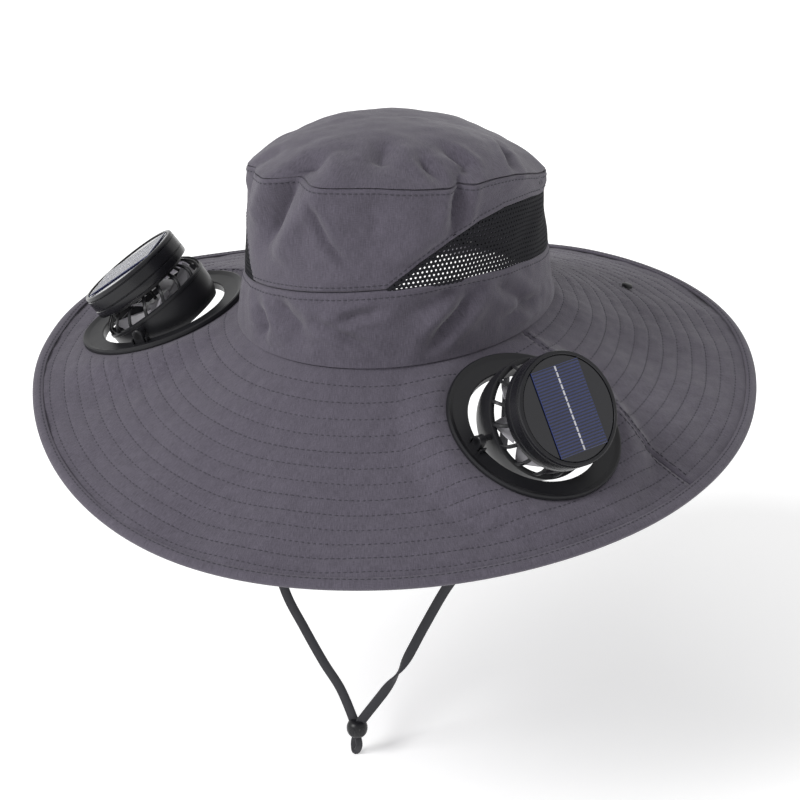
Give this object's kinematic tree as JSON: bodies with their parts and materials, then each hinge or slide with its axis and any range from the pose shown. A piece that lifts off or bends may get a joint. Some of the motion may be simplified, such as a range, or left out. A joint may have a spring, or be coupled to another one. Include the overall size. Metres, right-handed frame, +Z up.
{
  "type": "sun hat with solar fans",
  "caption": "Wide-brimmed cloth sun hat with net windows, a chin strap and tilting solar-powered fans set through the brim.",
  "frame": {"origin": "centre of the head opening, in the plane of the seam between band and brim", "axes": "+Z up through the crown, -Y to the front of the hat, +X to the side that is the right in the view from the front"},
  "size_m": [0.4208, 0.4579, 0.4041],
  "materials": {
    "grey_cloth": "matte woven",
    "black_net": "open knitted net",
    "black_webbing": "flat woven tape",
    "black_plastic": "satin moulded",
    "glossy_black": "high gloss",
    "cell_blue": "clear coated",
    "grey_plastic": "satin"
  },
  "bodies": {
    "hat": {"brim_back": "grey_cloth", "brim_binding": "grey_cloth", "brim_front": "grey_cloth", "brim_stud": "black_plastic", "chin_strap_left": "black_webbing", "chin_strap_right": "black_webbing", "crown_back_panel": "grey_cloth", "crown_front_panel": "grey_cloth", "crown_tip": "grey_cloth", "fan_flange_left": "black_plastic", "fan_flange_right": "black_plastic", "hat_band": "grey_cloth", "mesh_window_left": "black_net", "mesh_window_right": "black_net", "strap_tail": "black_webbing", "strap_toggle": "black_plastic"},
    "fan_left": {"fan_cage_left": "black_plastic", "fan_cap_left": "black_plastic", "solar_panel_left": "glossy_black", "solar_cell_left": "cell_blue"},
    "fan_right": {"fan_cage_right": "black_plastic", "fan_cap_right": "black_plastic", "solar_panel_right": "glossy_black", "solar_cell_right": "cell_blue"},
    "impeller_left": {"fan_impeller_left": "grey_plastic"},
    "impeller_right": {"fan_impeller_right": "grey_plastic"}
  },
  "joints": [
    {"name": "fan_left_tilt", "type": "hinge", "parent": "hat", "child": "fan_left", "pos_m": [-0.13171, -0.05772, -0.01178], "axis": [0.3273, -0.9424, -0.0694], "range_deg": [-50, 10]},
    {"name": "fan_right_tilt", "type": "hinge", "parent": "hat", "child": "fan_right", "pos_m": [0.12844, -0.05638, -0.02363], "axis": [0.3193, 0.9474, 0.0209], "range_deg": [-58, 4]},
    {"name": "fan_left_spin", "type": "hinge", "parent": "fan_left", "child": "impeller_left", "pos_m": [-0.13171, -0.05772, -0.01178], "axis": [-0.568, -0.2549, 0.7826], "continuous": true},
    {"name": "fan_right_spin", "type": "hinge", "parent": "fan_right", "child": "impeller_right", "pos_m": [0.12844, -0.05638, -0.02363], "axis": [0.8032, -0.2822, 0.5247], "continuous": true}
  ]
}
